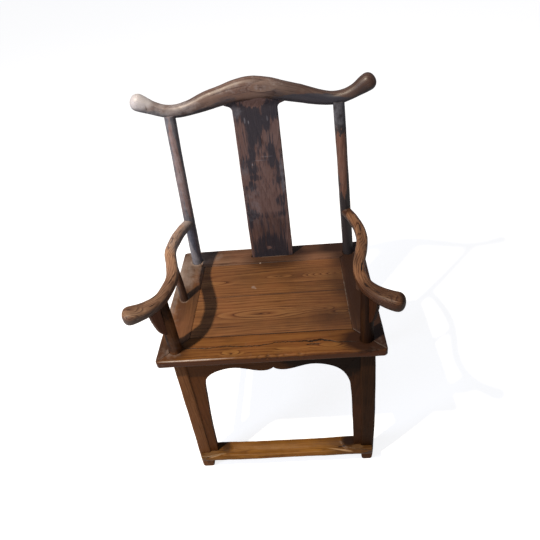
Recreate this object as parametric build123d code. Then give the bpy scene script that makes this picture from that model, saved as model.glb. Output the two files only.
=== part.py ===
from build123d import *
from math import atan2, cos, degrees, pi, radians, sin
import os

# Official's hat chair in elm: a mitred seat frame on four through posts.
# Millimetres. +X is the right as seen from the front, -Y is the front, +Z is up.
# While it is built, y = 0 is the middle of the seat; the last step centres the chair on its origin.
# Small amounts that recur: sunk is how far a cutter or a hidden end runs past a face.
sunk = 5.0

# Seat frame
seat_height = 523.0
seat_front_width = 573.0
seat_back_width = 541.0
seat_depth = 422.0
frame_thickness = 30.0
rail_width = 73.0
frame_corner_radius = 9.0
frame_top_rounding = 4.0
frame_under_bevel = 8.0
opening_back_half_width = 199.5
opening_front_half_width = 207.0
mitre_tenon_width = 10.0
mitre_tenon_thickness = 9.0
mitre_tenon_length = 32.0
mitre_tenon_inset = 3.0
mitre_tenon_rise = 11.0

# Seat boards and the battens under them
board_thickness = 12.0
board_tongue = 8.0
board_tongue_thickness = 5.0
board_tongue_drop = 1.0
board_joint_y = 4.5
board_joint_tongue = 5.0
board_edge_bevel = 0.6
batten_x = 98.0
batten_width = 30.0
batten_height = 13.0
batten_dovetail_top = 22.0
batten_dovetail_bottom = 16.0
batten_dovetail_depth = 4.0
batten_tenon = 14.0
batten_tenon_height = 8.0
batten_tenon_shoulder = 4.0

# Front leg and arm post, one length of wood
front_leg_x = 239.2
front_leg_y = -171.0
front_foot_x = 245.5
front_foot_y = -191.3
leg_width = 36.0
leg_corner_radius = 5.0
foot_bevel = 3.0
front_post_radius = 16.5
arm_post_top_radius = 15.0
arm_post_rise = 173.0

# Rear leg and back post, one length of wood, leaning back and inwards above the seat
rear_leg_x = 226.0
rear_leg_y = 166.0
rear_foot_x = 231.0
rear_foot_y = 186.0
back_post_height = 445.0
back_post_lean_in = 18.0
back_post_lean_back = 3.5
back_post_bow = 14.0
rear_post_radius = 15.2
back_post_top_radius = 13.8

# Crest rail, from the middle to the tip: x, y, rise above the seat, thickness, height, lean in degrees
crest_stations = [
    (0.0, 206.0, 498.5, 36.0, 58.5, 6.0),
    (36.0, 205.5, 496.0, 35.5, 54.0, 6.0),
    (72.0, 204.0, 488.5, 35.0, 47.0, 5.5),
    (112.0, 201.5, 479.0, 34.0, 43.5, 4.5),
    (152.0, 198.0, 468.5, 33.0, 37.0, 3.0),
    (190.0, 194.5, 463.0, 32.0, 32.0, 1.5),
    (220.0, 191.5, 467.0, 31.0, 30.0, 0.5),
    (247.0, 189.5, 479.0, 32.0, 31.5, 0.0),
    (270.0, 188.0, 494.0, 37.0, 38.0, 0.0),
    (291.0, 186.5, 508.0, 40.0, 42.0, 0.0),
]
crest_squareness = 2.3
crest_end_rounding = 9.0

# Back splat
splat_thickness = 13.0
splat_bottom_width = 123.0
splat_top_width = 113.0
splat_flare_radius = 10.0
splat_flare_rise = 468.0
splat_profile = [(0.0, 174.5), (0.22, 177.0), (0.5, 186.0), (0.78, 197.5), (1.0, 204.0), (1.12, 206.5)]
splat_span = 445.0
splat_tenon_width = 92.0
splat_tenon_thickness = 7.0
splat_tenon_depth = 16.0
splat_tenon_forward = 2.0
splat_foot_depth = 15.0

# Armrest, from the back post to the tip: x, y, rise above the seat, width, height
arm_stations = [
    (220.7, 165.8, 145.6, 27.5, 27.5),
    (236.0, 121.0, 148.5, 28.0, 28.0),
    (246.0, 72.0, 152.5, 28.5, 28.0),
    (247.6, 20.0, 156.7, 29.0, 28.0),
    (238.5, -34.0, 160.8, 29.0, 28.0),
    (228.0, -84.0, 164.8, 29.0, 28.0),
    (226.0, -128.0, 168.8, 29.5, 28.0),
    (236.5, -170.0, 172.8, 31.0, 29.0),
    (259.0, -201.0, 175.6, 36.0, 31.5),
    (288.0, -221.5, 176.8, 42.0, 34.5),
    (311.0, -231.0, 177.0, 44.0, 36.0),
]
arm_squareness = 2.35
arm_end_rounding = 10.0
arm_tenon_radius = 6.0
arm_tenon_length = 20.0

# Side post under the arm, as rise above the seat and radius
side_post_x = 242.5
side_post_y = 6.5
side_post_radii = [(0.0, 10.6), (30.0, 10.4), (85.0, 9.0), (135.0, 7.8), (157.0, 7.6)]
side_post_tenon_start = 10.0
side_post_tenon_radius = 5.5
side_post_tenon_depth = 18.0

# Bracket under the front of the arm: reach from the post's axis and rise above the seat
bracket_heading = 27.0
bracket_thickness = 11.0
bracket_edge_points = [(42.0, 153.0), (40.0, 136.0), (34.0, 106.0), (25.5, 82.0), (18.0, 71.0)]
bracket_bottom = 64.0

# Apron and strips that line the front opening: half-outline of its edge, x and drop below the seat's top
front_lining_thickness = 15.0
front_lining_setback = 4.0
front_lining_tongue = 4.0
arch_lobe = [(0.0, 72.5), (6.0, 78.0), (27.0, 83.5), (58.0, 77.5), (98.0, 67.5), (130.0, 71.5)]
arch_shoulder = [(159.0, 84.5), (176.5, 102.0), (184.0, 122.0), (188.5, 151.0)]
arch_side = [(191.0, 186.0), (197.0, 266.0), (202.0, 366.0), (204.5, 456.0)]
lining_mitre_spread = 25.0

# Side and back aprons
apron_height = 44.0
apron_thickness = 14.0
spandrel_drop = 96.0
spandrel_width = 26.0
spandrel_curve_share = 0.65
back_spandrel_drop = 70.0
spandrel_toe_radius = 8.5
same_place = 0.01

# Foot rail and stretchers
foot_rail_bottom = 53.0
foot_rail_top = 79.0
foot_rail_back = -172.5
foot_rail_front = -222.0
foot_rail_half_length = 258.5
foot_rail_wear_depth = 6.5
foot_rail_wear_length = 400.0
foot_rail_nose = 5.0
foot_rail_tenon_width = 14.0
foot_rail_tenon_reach = 8.0
foot_rail_tenon_setback = 24.0
foot_rail_tenon_shoulder = 5.0
side_stretcher_height = 262.0
side_stretcher_thickness = 22.0
side_stretcher_depth = 29.0
rear_stretcher_height = 210.0
rear_stretcher_thickness = 22.0
rear_stretcher_depth = 27.0
stretcher_rounding = 5.0
tenon_thickness = 10.0
tenon_length = 24.0
tenon_side_shoulder = 4.0
post_tenon_radius = 8.0
post_tenon_root = 30.0
crest_tenon_depth = 22.0
arm_tenon_depth = 4.0

# Pegs that lock the tenons
peg_radius = 2.5
peg_inset = 8.0
peg_length = 34.0

# Values that follow from those above
frame_bottom = seat_height - frame_thickness
above_all = 2 * seat_height + seat_depth
front_edge_y = -seat_depth / 2
back_edge_y = seat_depth / 2
opening_front_y = front_edge_y + rail_width
opening_back_y = back_edge_y - rail_width
board_bottom = seat_height - board_thickness
arm_axis = [Vector(x, y, seat_height + rise) for x, y, rise, width, height in arm_stations]
arm_post_top = seat_height + arm_post_rise
splat_flare_top = seat_height + splat_flare_rise


def between(start, end, share):
    return start + (end - start) * share


def prism(points, bottom, top):
    """Solid with a plan outline of (x, y) points, from one height to another."""
    face = make_face(Polyline(*points, close=True))
    return Pos(0, 0, bottom) * extrude(face, top - bottom)


def block(low, high):
    size = [h - l for l, h in zip(low, high)]
    middle = [(l + h) / 2 for l, h in zip(low, high)]
    return Pos(*middle) * Box(*size)


def rod(start, end, radius):
    """Round bar from one point to another."""
    axis = Vector(*end) - Vector(*start)
    return extrude(Plane(origin=start, z_dir=axis) * Circle(radius), axis.length)


def carved_section(plane, width, height, squareness):
    """Rounded section between an ellipse and a rectangle, as one closed curve."""
    steps = 16
    points = []
    for step in range(steps):
        angle = 2 * pi * step / steps
        across = abs(cos(angle)) ** (2 / squareness)
        up = abs(sin(angle)) ** (2 / squareness)
        points.append((
            width / 2 * across * (1 if cos(angle) >= 0 else -1),
            height / 2 * up * (1 if sin(angle) >= 0 else -1),
        ))
    return plane * make_face(Spline(*points, periodic=True))


def carved_rail(stations, squareness):
    """Loft through (point, width, height, lean) stations along a smooth centre line.

    From -X to +X, a section's top leans back by its lean.
    """
    line = Spline(*[point for point, width, height, lean in stations])
    sections = []
    for point, width, height, lean in stations:
        tangent = line.tangent_at(point)
        level = tangent.cross(Vector(0, 0, 1)).normalized()
        across = level.rotate(Axis((0, 0, 0), tangent), -lean)
        plane = Plane(origin=point, x_dir=across, z_dir=tangent)
        sections.append(carved_section(plane, width, height, squareness))
    return loft(sections)


def mirrored(piece):
    return mirror(piece, about=Plane.YZ)


def front_axis(height):
    share = 1 - height / seat_height
    return Vector(
        front_leg_x + (front_foot_x - front_leg_x) * share,
        front_leg_y + (front_foot_y - front_leg_y) * share,
        height,
    )


def rear_axis(height):
    share = 1 - height / seat_height
    if share >= 0:
        x = rear_leg_x + (rear_foot_x - rear_leg_x) * share
        y = rear_leg_y + (rear_foot_y - rear_leg_y) * share
        return Vector(x, y, height)
    rise = (height - seat_height) / back_post_height
    x = rear_leg_x - back_post_lean_in * rise
    y = rear_leg_y + back_post_lean_back * rise + back_post_bow * rise**2
    return Vector(x, y, height)


def leg(axis):
    """Square leg with rounded corners, from the floor to the underside of the seat frame."""
    outline = RectangleRounded(leg_width, leg_width, leg_corner_radius)
    shaft = loft([Plane(origin=axis(0)) * outline, Plane(origin=axis(frame_bottom)) * outline])
    return chamfer(shaft.faces().sort_by(Axis.Z)[0].edges(), foot_bevel)


# Crest rail

crest_points = []
for x, y, rise, width, height, lean in crest_stations:
    crest_points.append((Vector(x, y, seat_height + rise), width, height, lean))
crest_left = [(Vector(-p.X, p.Y, p.Z), w, h, lean) for p, w, h, lean in reversed(crest_points[1:])]
crest_outer = carved_rail(crest_left + crest_points, crest_squareness)
crest_ends = crest_outer.faces().filter_by(GeomType.PLANE).sort_by(Axis.X)
crest_outer = fillet(crest_ends[0].edges() + crest_ends[-1].edges(), crest_end_rounding)
crest_half = crest_outer & block((0, -seat_depth, 0), (seat_front_width, seat_depth, above_all))
crest_outer = crest_half + mirrored(crest_half)

# Armrest

arm_points = [(axis, width, height, 0) for axis, (*place, width, height) in zip(arm_axis, arm_stations)]
arm_outer = carved_rail(arm_points, arm_squareness)
arm_caps = arm_outer.faces().filter_by(GeomType.PLANE).sort_by(Axis.X)
arm_outer = fillet(arm_caps[-1].edges(), arm_end_rounding)

# Rear post with its tenon in the crest rail

rear_top = seat_height + back_post_height
round_start = frame_bottom - sunk
rear_sections = 8
rear_round_sections = []
for section in range(rear_sections):
    height = between(round_start, rear_top + sunk, section / (rear_sections - 1))
    rise = max(0, (height - seat_height) / back_post_height)
    radius = between(rear_post_radius, back_post_top_radius, rise)
    rear_round_sections.append(Plane(origin=rear_axis(height)) * Circle(radius))
rear_round = loft(rear_round_sections)
crest_tenon = rod(
    rear_axis(rear_top - post_tenon_root), rear_axis(rear_top + crest_tenon_depth), post_tenon_radius
)
rear_post = leg(rear_axis) + (rear_round - crest_outer) + crest_tenon
crest_rail = crest_outer - crest_tenon - mirrored(crest_tenon)

# Armrest's tenon in the rear post

arm_start = arm_axis[0]
arm_heading = (arm_axis[1] - arm_axis[0]).normalized()
arm_tenon = rod(arm_start - arm_heading * sunk, arm_start + arm_heading * arm_tenon_length, arm_tenon_radius)
armrest = (arm_outer - rear_round) + arm_tenon
rear_post = rear_post - arm_tenon

# Front post, its tenon in the arm

front_round = loft([
    Plane(origin=front_axis(round_start)) * Circle(front_post_radius),
    Plane(origin=front_axis(arm_post_top)) * Circle(arm_post_top_radius),
])
front_tenon = rod(
    front_axis(arm_post_top - post_tenon_root), front_axis(arm_post_top + arm_tenon_depth), post_tenon_radius
)
front_post = leg(front_axis) + (front_round - arm_outer) + front_tenon
armrest = armrest - front_tenon

# Side post between the seat and the arm

side_sections = []
for rise, radius in side_post_radii:
    side_sections.append(Plane(origin=(side_post_x, side_post_y, seat_height + rise)) * Circle(radius))
side_post_top = seat_height + side_post_radii[-1][0]
side_foot_tenon = rod(
    (side_post_x, side_post_y, seat_height - side_post_tenon_depth),
    (side_post_x, side_post_y, seat_height + side_post_tenon_start),
    side_post_tenon_radius,
)
side_top_tenon = rod(
    (side_post_x, side_post_y, side_post_top - post_tenon_root),
    (side_post_x, side_post_y, side_post_top + sunk),
    side_post_tenon_radius,
)
side_post = (loft(side_sections) - arm_outer) + side_foot_tenon + side_top_tenon
armrest = armrest - side_top_tenon

# Bracket between the front post and the arm

bracket_outline = [(reach, seat_height + rise) for reach, rise in bracket_edge_points]
bracket_foot = seat_height + bracket_bottom
bracket_origin = front_axis(bracket_foot)
bracket_direction = Vector(sin(radians(bracket_heading)), -cos(radians(bracket_heading)), 0)
bracket_plane = Plane(
    origin=(bracket_origin.X, bracket_origin.Y, 0),
    x_dir=bracket_direction,
    z_dir=bracket_direction.cross(Vector(0, 0, 1)),
)
bracket_edge = Spline(*bracket_outline)
bracket_rest = Polyline(
    bracket_outline[-1],
    (0, bracket_foot),
    (0, arm_post_top),
    (bracket_outline[0][0], arm_post_top),
    bracket_outline[0],
)
bracket_face = make_face(bracket_edge + bracket_rest)
bracket = extrude(bracket_plane * bracket_face, bracket_thickness / 2, both=True)
bracket = bracket - arm_outer - front_round

# Seat frame: one moulded ring cut into four mitred rails

frame_outline = [
    (-seat_front_width / 2, front_edge_y),
    (seat_front_width / 2, front_edge_y),
    (seat_back_width / 2, back_edge_y),
    (-seat_back_width / 2, back_edge_y),
]
opening_outline = [
    (-opening_front_half_width, opening_front_y),
    (opening_front_half_width, opening_front_y),
    (opening_back_half_width, opening_back_y),
    (-opening_back_half_width, opening_back_y),
]
frame_slab = prism(frame_outline, frame_bottom, seat_height)
frame_slab = fillet(frame_slab.edges().filter_by(Axis.Z), frame_corner_radius)
frame_slab = chamfer(frame_slab.faces().sort_by(Axis.Z)[0].edges(), frame_under_bevel)
frame_slab = fillet(frame_slab.faces().sort_by(Axis.Z)[-1].edges(), frame_top_rounding)
frame_ring = frame_slab - prism(opening_outline, frame_bottom, seat_height)

tongue_middle = (board_bottom + seat_height) / 2 - board_tongue_drop
tongue_bottom = tongue_middle - board_tongue_thickness / 2
tongue_top = tongue_middle + board_tongue_thickness / 2
tongue_outline = [
    (x + (board_tongue if x > 0 else -board_tongue), y + (board_tongue if y > 0 else -board_tongue))
    for x, y in opening_outline
]
tongue_slab = prism(tongue_outline, tongue_bottom, tongue_top)
frame_ring = frame_ring - tongue_slab
frame_ring = frame_ring - rear_round - mirrored(rear_round) - front_round - mirrored(front_round)


def frame_wedge(first, second):
    """One rail's plan between two mitres, carried outwards past the moulded edge."""
    outer = []
    for corner in (first, second):
        inner_x, inner_y = opening_outline[corner]
        outer_x, outer_y = frame_outline[corner]
        outer.append((2 * outer_x - inner_x, 2 * outer_y - inner_y))
    return prism([opening_outline[first], *outer, opening_outline[second]], 0, 2 * seat_height)


def mitre_tenon(corner):
    """Tenon from a front or back rail into the side rail, beside the post's hole."""
    x, y = opening_outline[corner]
    side = 1 if x > 0 else -1
    inwards = 1 if y > 0 else -1
    low_y = y + inwards * mitre_tenon_inset
    high_y = low_y + inwards * mitre_tenon_width
    middle_z = frame_bottom + mitre_tenon_rise
    return block(
        (min(x, x + side * mitre_tenon_length), min(low_y, high_y), middle_z - mitre_tenon_thickness / 2),
        (max(x, x + side * mitre_tenon_length), max(low_y, high_y), middle_z + mitre_tenon_thickness / 2),
    )


front_tenons = mitre_tenon(0) + mitre_tenon(1)
back_tenons = mitre_tenon(2) + mitre_tenon(3)
seat_front_rail = (frame_ring & frame_wedge(0, 1)) + (front_tenons & frame_slab)
seat_back_rail = (frame_ring & frame_wedge(2, 3)) + (back_tenons & frame_slab)
seat_right_rail = (frame_ring & frame_wedge(1, 2)) - front_tenons - back_tenons - side_foot_tenon
seat_left_rail = mirrored(seat_right_rail)

# Seat boards, tongued into the frame and into each other

panel = prism(opening_outline, board_bottom, seat_height) + tongue_slab
half_reach = seat_front_width
front_half = block((-half_reach, front_edge_y, 0), (half_reach, board_joint_y, 2 * seat_height))
joint_tongue = block(
    (-half_reach, board_joint_y, tongue_bottom),
    (half_reach, board_joint_y + board_joint_tongue, tongue_top),
)
board_front = panel & (front_half + joint_tongue)
board_back = panel - front_half - joint_tongue


def ease_top(board):
    top = board.faces().filter_by(Axis.Z).sort_by(Axis.Z)[-1]
    return chamfer(top.edges(), board_edge_bevel)


board_front = ease_top(board_front)
board_back = ease_top(board_back)


def batten(middle_x):
    """Dovetailed bar under the boards, tenoned into the front and back rails."""
    top = board_bottom
    body = block(
        (middle_x - batten_width / 2, opening_front_y, top - batten_height),
        (middle_x + batten_width / 2, opening_back_y, top),
    )
    half_tenon = batten_width / 2 - batten_tenon_shoulder
    tenon_bottom = top - (batten_height + batten_tenon_height) / 2
    tenon = block(
        (middle_x - half_tenon, opening_front_y - batten_tenon, tenon_bottom),
        (middle_x + half_tenon, opening_back_y + batten_tenon, tenon_bottom + batten_tenon_height),
    )
    dovetail_face = make_face(Polyline(
        (middle_x - batten_dovetail_bottom / 2, top),
        (middle_x + batten_dovetail_bottom / 2, top),
        (middle_x + batten_dovetail_top / 2, top + batten_dovetail_depth),
        (middle_x - batten_dovetail_top / 2, top + batten_dovetail_depth),
        close=True,
    ))
    dovetail_plane = Plane(origin=(0, opening_back_y, 0), x_dir=(1, 0, 0), z_dir=(0, -1, 0))
    dovetail = extrude(dovetail_plane * dovetail_face, opening_back_y - opening_front_y)
    return body + tenon + dovetail


right_batten = batten(batten_x)
left_batten = batten(-batten_x)
board_front = board_front - right_batten - left_batten
board_back = board_back - right_batten - left_batten
seat_front_rail = seat_front_rail - right_batten - left_batten
seat_back_rail = seat_back_rail - right_batten - left_batten

# Back splat, tenoned into the crest rail and the back rail

splat_middle = [(y, seat_height + share * splat_span) for share, y in splat_profile]
splat_lower = (splat_middle[0][0], seat_height - splat_foot_depth)
half_splat = splat_thickness / 2
splat_back = Spline(*[(y + half_splat, z) for y, z in splat_middle])
splat_front = Spline(*[(y - half_splat, z) for y, z in reversed(splat_middle)])
splat_foot = Polyline(
    (splat_middle[0][0] - half_splat, seat_height),
    (splat_lower[0] - half_splat, splat_lower[1]),
    (splat_lower[0] + half_splat, splat_lower[1]),
    (splat_middle[0][0] + half_splat, seat_height),
)
splat_head = Line(splat_back @ 1, splat_front @ 0)
splat_ribbon = Plane.YZ * make_face(splat_back + splat_head + splat_front + splat_foot)
splat_ribbon = extrude(splat_ribbon, splat_bottom_width, both=True)
flare_bottom = splat_flare_top - splat_flare_radius
bottom_half = splat_bottom_width / 2
top_half = splat_top_width / 2
splat_side = Line((bottom_half, splat_lower[1]), (top_half, flare_bottom))
flare_end_x = top_half + splat_flare_radius
splat_flare = RadiusArc(splat_side @ 1, (flare_end_x, splat_flare_top), -splat_flare_radius)
splat_end = Polyline(
    splat_flare @ 1,
    (flare_end_x, above_all),
    (0, above_all),
    (0, splat_lower[1]),
    (bottom_half, splat_lower[1]),
)
splat_half_front = extrude(Plane.XZ * make_face(splat_side + splat_flare + splat_end), -seat_depth)
splat_outline = splat_half_front + mirrored(splat_half_front)
splat_raw = splat_ribbon & splat_outline
splat_tenon_y = crest_points[0][0].Y - splat_tenon_forward
splat_tenon = block(
    (-splat_tenon_width / 2, splat_tenon_y - splat_tenon_thickness / 2, flare_bottom - sunk),
    (splat_tenon_width / 2, splat_tenon_y + splat_tenon_thickness / 2, splat_flare_top + splat_tenon_depth),
)
splat = (splat_raw - crest_outer) + (splat_tenon & crest_outer)
crest_rail = crest_rail - splat_tenon
seat_back_rail = seat_back_rail - splat_raw

# Foot rail across the front, worn hollow, lapped round the legs

foot_rail_slab = block(
    (-foot_rail_half_length, foot_rail_front, foot_rail_bottom),
    (foot_rail_half_length, foot_rail_back, foot_rail_top),
)
foot_rail_slab = fillet(foot_rail_slab.edges().filter_by(Axis.X), foot_rail_nose)
wear_radius = foot_rail_wear_length**2 / (8 * foot_rail_wear_depth)
wear_axis_height = foot_rail_top - foot_rail_wear_depth + wear_radius
wear = Pos(0, 0, wear_axis_height) * Rot(90, 0, 0) * Cylinder(wear_radius, seat_depth * 2)
tenon_half_length = front_foot_x + foot_rail_tenon_reach
tenon_front = foot_rail_back - foot_rail_tenon_setback
foot_rail_tenon = block(
    (-tenon_half_length, tenon_front, foot_rail_bottom + foot_rail_tenon_shoulder),
    (tenon_half_length, tenon_front + foot_rail_tenon_width, foot_rail_top - foot_rail_tenon_shoulder),
)
both_front_legs = front_post + mirrored(front_post)
foot_rail = (foot_rail_slab - wear - both_front_legs) + foot_rail_tenon
front_post = front_post - foot_rail_tenon

# Stretchers


def stretcher(start, end, thickness, depth):
    """Rounded bar between two leg axes, with a tenon at each end."""
    run = end - start
    plane = Plane(origin=start, x_dir=run.cross(Vector(0, 0, 1)), z_dir=run)
    bar = extrude(plane * RectangleRounded(thickness, depth, stretcher_rounding), run.length)
    tenon_outline = Rectangle(tenon_thickness, depth - 2 * tenon_side_shoulder)
    tenon_plane = plane.offset(leg_width / 2 - tenon_length)
    tenon_bar = extrude(tenon_plane * tenon_outline, run.length - leg_width + 2 * tenon_length)
    return bar, tenon_bar


right_bar, right_tenon = stretcher(
    front_axis(side_stretcher_height), rear_axis(side_stretcher_height),
    side_stretcher_thickness, side_stretcher_depth,
)
right_stretcher = (right_bar - front_post - rear_post) + right_tenon
rear_right = rear_axis(rear_stretcher_height)
rear_left = Vector(-rear_right.X, rear_right.Y, rear_right.Z)
rear_bar, rear_tenon = stretcher(rear_right, rear_left, rear_stretcher_thickness, rear_stretcher_depth)
rear_stretcher = (rear_bar - rear_post - mirrored(rear_post)) + rear_tenon
front_post = front_post - right_tenon
rear_post = rear_post - right_tenon - rear_tenon

# Lining of the front opening: apron and two strips, mitred at the shoulders

front_splay = degrees(atan2(front_leg_y - front_foot_y, seat_height))
lining_y = front_axis(frame_bottom).Y - leg_width / 2 + front_lining_setback
lining_plane = Plane(
    origin=(0, lining_y, frame_bottom),
    x_dir=(1, 0, 0),
    z_dir=(0, -cos(radians(front_splay)), sin(radians(front_splay))),
)
arch = arch_lobe + arch_shoulder + arch_side
arch_right = [(x, frame_thickness - drop) for x, drop in arch]
arch_left = [(-x, z) for x, z in reversed(arch_right)]
lining_foot = arch_right[-1][1]
leg_inner_top = front_axis(frame_bottom).X - leg_width / 2 + front_lining_tongue
leg_inner_foot = front_axis(seat_height - arch_side[-1][1]).X - leg_width / 2 + front_lining_tongue
lining_right_edge = Spline(*arch_right)
lining_left_edge = Spline(*arch_left)
lining_rest = Polyline(
    arch_right[-1],
    (leg_inner_foot, lining_foot),
    (leg_inner_top, 0),
    (-leg_inner_top, 0),
    (-leg_inner_foot, lining_foot),
    arch_left[0],
)
lining_face = make_face(lining_left_edge + lining_right_edge + lining_rest)
lining = extrude(lining_plane * lining_face, -front_lining_thickness)
lining = lining - foot_rail
shoulder_x, shoulder_drop = arch_shoulder[1]
mitre_points = [
    (leg_inner_top, 0),
    (shoulder_x, frame_thickness - shoulder_drop),
    (shoulder_x - lining_mitre_spread, lining_foot - sunk),
    (seat_front_width / 2, lining_foot - sunk),
    (seat_front_width / 2, 0),
]
mitre_block = extrude(
    lining_plane * make_face(Polyline(*mitre_points, close=True)), 2 * front_lining_thickness, both=True
)
right_strip = lining & mitre_block
front_apron = lining - mitre_block - mirrored(mitre_block)
front_post = front_post - lining

# Side and back aprons with spandrels


def spandrel_apron(start, end, outwards, drop):
    """Apron under a rail between two legs; start and end are leg axes under the frame."""
    run = (end - start).normalized()
    plane = Plane(origin=(start + end) / 2, x_dir=run, z_dir=outwards)
    half = (end - start).length / 2 - leg_width / 2 + front_lining_tongue
    inner = half - spandrel_width
    board = Polyline((-half, 0), (half, 0), (half, -drop), (inner, -drop), (inner, -apron_height),
                     (-inner, -apron_height), (-inner, -drop), (-half, -drop), close=True)
    face = make_face(board)
    corners = face.vertices().filter_by(lambda v: abs(v.Y + apron_height) < same_place)
    face = fillet(corners, (drop - apron_height) * spandrel_curve_share)
    feet = face.vertices().filter_by(lambda v: abs(v.Y + drop) < same_place)
    toes = feet.filter_by(lambda v: abs(abs(v.X) - inner) < same_place)
    face = fillet(toes, spandrel_toe_radius)
    return extrude(plane * face, apron_thickness / 2, both=True)


front_under = front_axis(frame_bottom)
rear_under = rear_axis(frame_bottom)
rear_under_left = Vector(-rear_under.X, rear_under.Y, rear_under.Z)
side_run = (rear_under - front_under).normalized()
side_outwards = side_run.cross(Vector(0, 0, 1))
right_apron = spandrel_apron(front_under, rear_under, side_outwards, spandrel_drop)
back_apron = spandrel_apron(rear_under, rear_under_left, Vector(0, 1, 0), back_spandrel_drop)
front_post = front_post - right_apron
rear_post = rear_post - right_apron - back_apron

# Pegs through the tenons


def peg(point, direction):
    return rod(point - direction * (peg_length / 2), point + direction * (peg_length / 2), peg_radius)


outside = Vector(1, 0, 0)
behind = Vector(0, 1, 0)
side_front = front_axis(side_stretcher_height)
side_rear = rear_axis(side_stretcher_height)
right_pegs = peg(side_front + side_run * peg_inset, outside)
right_pegs += peg(side_rear - side_run * peg_inset, outside)
right_pegs += peg(rear_right - outside * peg_inset, behind)
right_pegs += peg(front_axis(between(foot_rail_bottom, foot_rail_top, 0.5)), behind)
all_pegs = right_pegs + mirrored(right_pegs)
front_post = front_post - right_pegs
rear_post = rear_post - right_pegs
right_stretcher = right_stretcher - right_pegs
rear_stretcher = rear_stretcher - all_pegs
foot_rail = foot_rail - all_pegs

# Every piece by name; the right-hand ones of a pair give the left-hand ones

pieces = {
    "crest_rail": crest_rail,
    "back_splat": splat,
    "seat_front_rail": seat_front_rail,
    "seat_back_rail": seat_back_rail,
    "seat_left_rail": seat_left_rail,
    "seat_right_rail": seat_right_rail,
    "seat_board_front": board_front,
    "seat_board_back": board_back,
    "left_seat_batten": left_batten,
    "right_seat_batten": right_batten,
    "front_apron": front_apron,
    "back_apron": back_apron,
    "foot_rail": foot_rail,
    "rear_stretcher": rear_stretcher,
    "joint_pegs": all_pegs,
}
pairs = {
    "front_post": front_post,
    "rear_post": rear_post,
    "armrest": armrest,
    "side_post": side_post,
    "arm_bracket": bracket,
    "front_strip": right_strip,
    "side_apron": right_apron,
    "side_stretcher": right_stretcher,
}
for name, piece in pairs.items():
    pieces["right_" + name] = piece
    pieces["left_" + name] = mirrored(piece)

# Centre the chair front to back on its origin and write one file per piece

chair_box = Compound(children=[Compound(p.solids()) for p in pieces.values()]).bounding_box()
centring = Pos(0, -chair_box.center().Y, 0)
print("moved back by", round(-chair_box.center().Y, 3), "size", chair_box.size)
for name, piece in pieces.items():
    placed = Compound([centring * solid for solid in piece.solids()])
    export_step(placed, "parts/" + name + ".step")
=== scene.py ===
import bisect
import math
import bmesh
import bpy
from mathutils import Matrix, Quaternion, Vector, noise


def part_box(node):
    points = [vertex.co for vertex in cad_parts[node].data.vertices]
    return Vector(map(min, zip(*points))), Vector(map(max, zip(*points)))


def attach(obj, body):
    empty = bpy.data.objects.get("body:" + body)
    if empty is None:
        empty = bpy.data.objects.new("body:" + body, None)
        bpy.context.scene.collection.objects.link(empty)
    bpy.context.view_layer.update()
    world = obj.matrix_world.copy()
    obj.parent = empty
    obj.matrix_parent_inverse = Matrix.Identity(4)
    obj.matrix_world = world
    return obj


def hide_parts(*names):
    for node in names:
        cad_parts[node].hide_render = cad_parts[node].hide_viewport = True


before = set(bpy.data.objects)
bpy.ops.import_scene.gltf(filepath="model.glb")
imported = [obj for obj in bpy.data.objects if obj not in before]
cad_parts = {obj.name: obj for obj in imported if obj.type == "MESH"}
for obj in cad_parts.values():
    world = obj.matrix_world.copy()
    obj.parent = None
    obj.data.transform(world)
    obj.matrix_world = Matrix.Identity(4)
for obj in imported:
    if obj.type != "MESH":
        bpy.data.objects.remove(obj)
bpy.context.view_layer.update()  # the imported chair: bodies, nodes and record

# Official's hat chair in old elm, with worn dark lacquer.
# Metres. +X is the right as seen from the front, -Y the front, +Z up.

scene = bpy.context.scene
scene.view_settings.view_transform = "Standard"
print("frame loaded with", len(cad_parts), "nodes")


# Camera, floor and lamps

cameraPlace = dict(
    location=(0.1146, -0.9785, 1.4939),
    turn=4.154,  # degrees to the left
    lookDown=40.445,  # degrees below level
    roll=-6.593,
    focal=505.85,  # in pixels of the square frame
    centre=(282.86, 260), frameSize=540, sensor=36,
)


def placeCamera(place):
    turn, tip, roll = (math.radians(v) for v in (place["turn"], 90 - place["lookDown"], place["roll"]))
    data = bpy.data.cameras.new("camera")
    data.sensor_width = place["sensor"]
    data.lens = place["focal"] / place["frameSize"] * place["sensor"]
    data.shift_x = 0.5 - place["centre"][0] / place["frameSize"]
    data.shift_y = place["centre"][1] / place["frameSize"] - 0.5
    camera = bpy.data.objects.new("camera", data)
    camera.matrix_world = (Matrix.Translation(place["location"]) @ Matrix.Rotation(turn, 4, "Z")
                           @ Matrix.Rotation(tip, 4, "X") @ Matrix.Rotation(roll, 4, "Z"))
    scene.collection.objects.link(camera)
    scene.camera = camera


placeCamera(cameraPlace)


def linear(hexColour):
    channels = [int(hexColour[i:i + 2], 16) / 255 for i in (1, 3, 5)]
    return [c / 12.92 if c <= 0.04045 else ((c + 0.055) / 1.055) ** 2.4 for c in channels] + [1]


def addNode(tree, kind, settings, *inputs):
    # settings by name, or only the operation, then the inputs in their order; a socket is linked
    if isinstance(settings, str):
        settings = {"operation": settings}
    node = tree.nodes.new("ShaderNode" + kind)
    for name, value in (*settings.items(), *enumerate(inputs)):
        if isinstance(value, bpy.types.NodeSocket):
            tree.links.new(value, node.inputs[name])
        elif isinstance(name, int) or name in node.inputs:
            node.inputs[name].default_value = value
        else:
            setattr(node, name, value)
    return node


def newMaterial(name):
    material = bpy.data.materials.new(name)
    material.use_nodes = True
    material.node_tree.nodes.clear()
    return material, material.node_tree


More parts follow.
